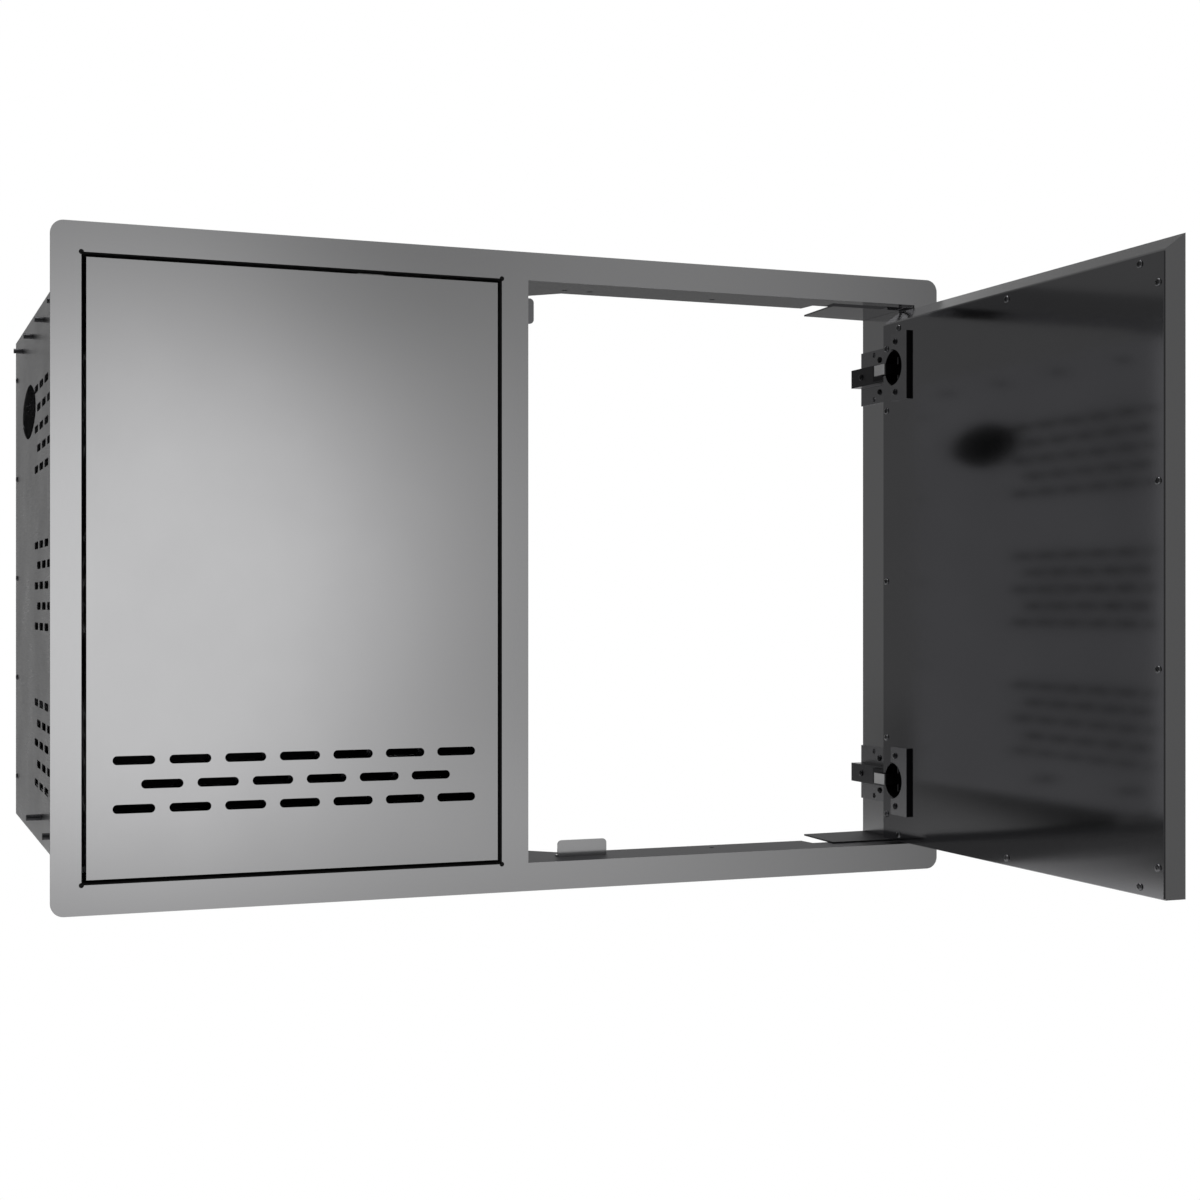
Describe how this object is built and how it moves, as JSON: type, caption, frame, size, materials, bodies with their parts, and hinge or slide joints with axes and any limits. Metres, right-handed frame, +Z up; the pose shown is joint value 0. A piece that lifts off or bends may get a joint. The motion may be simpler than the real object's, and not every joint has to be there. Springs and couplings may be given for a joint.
{
  "type": "outdoor kitchen door and drawer combo",
  "caption": "Stainless face frame for a masonry or stud island with a slide-out gas tank drawer in a vented sleeve on the left and a hinged access door on the right.",
  "frame": {"origin": "middle of the face frame's lower edge, on the back face of its flange, the face that seats on the island round the cut-out", "axes": "+X to the right seen from the front, +Y into the island, +Z up; stored with the door open at 90 degrees and the drawer closed, as pictured"},
  "size_m": [0.838, 0.936, 0.567],
  "materials": {
    "satin_steel": "satin",
    "dark_steel": "satin, as the shaded inner sheets",
    "liner_steel": "smooth mill finish",
    "galvanised": "zinc plated",
    "black_hinge": "black nickel",
    "cover_steel": "polished cover",
    "screw_steel": "bright stainless"
  },
  "bodies": {
    "root": {"face_frame": "satin_steel", "hinge_jamb": "dark_steel", "lower_door_stop": "dark_steel", "upper_door_stop": "dark_steel", "enclosure_left": "dark_steel", "enclosure_right": "dark_steel", "enclosure_top": "dark_steel", "enclosure_bottom": "dark_steel", "enclosure_rear": "dark_steel", "top_flange_screws": "screw_steel", "rear_flange_screws": "screw_steel", "slide_bolts": "screw_steel", "slide_outer_left": "galvanised", "slide_outer_right": "galvanised", "upper_hinge_plate": "black_hinge", "lower_hinge_plate": "black_hinge", "upper_hinge_arm": "black_hinge", "lower_hinge_arm": "black_hinge", "upper_arm_cover": "cover_steel", "lower_arm_cover": "cover_steel", "hinge_plate_screws": "screw_steel", "arm_screws": "screw_steel"},
    "door": {"door_skin": "satin_steel", "door_liner": "liner_steel", "door_liner_screws": "screw_steel", "upper_hinge_cup": "black_hinge", "lower_hinge_cup": "black_hinge", "upper_hinge_pin": "screw_steel", "lower_hinge_pin": "screw_steel", "hinge_cup_screws": "screw_steel"},
    "drawer": {"drawer_skin": "satin_steel", "drawer_liner": "liner_steel", "drawer_liner_screws": "screw_steel", "tank_tray": "dark_steel", "tank_dish": "satin_steel", "front_brace_left": "dark_steel", "front_brace_right": "dark_steel", "brace_screws": "screw_steel", "tray_front_screws": "screw_steel", "slide_inner_left": "galvanised", "slide_inner_right": "galvanised", "slide_screws": "screw_steel"},
    "slide_middles": {"slide_middle_left": "galvanised", "slide_middle_right": "galvanised"}
  },
  "joints": [
    {"name": "door_hinge", "type": "hinge", "parent": "root", "child": "door", "pos_m": [0.3815, 0.007, 0.2835], "axis": [0, 0, 1], "range_deg": [-90, 15]},
    {"name": "drawer_slide", "type": "slide", "parent": "root", "child": "drawer", "axis": [0, -1, 0], "range_m": [0, 0.4]},
    {"name": "middle_slide", "type": "slide", "parent": "root", "child": "slide_middles", "axis": [0, -1, 0], "range_m": [0, 0.2]}
  ],
  "couplings": [
    {"joint": "middle_slide", "follows": "drawer_slide", "ratio": 0.5}
  ]
}
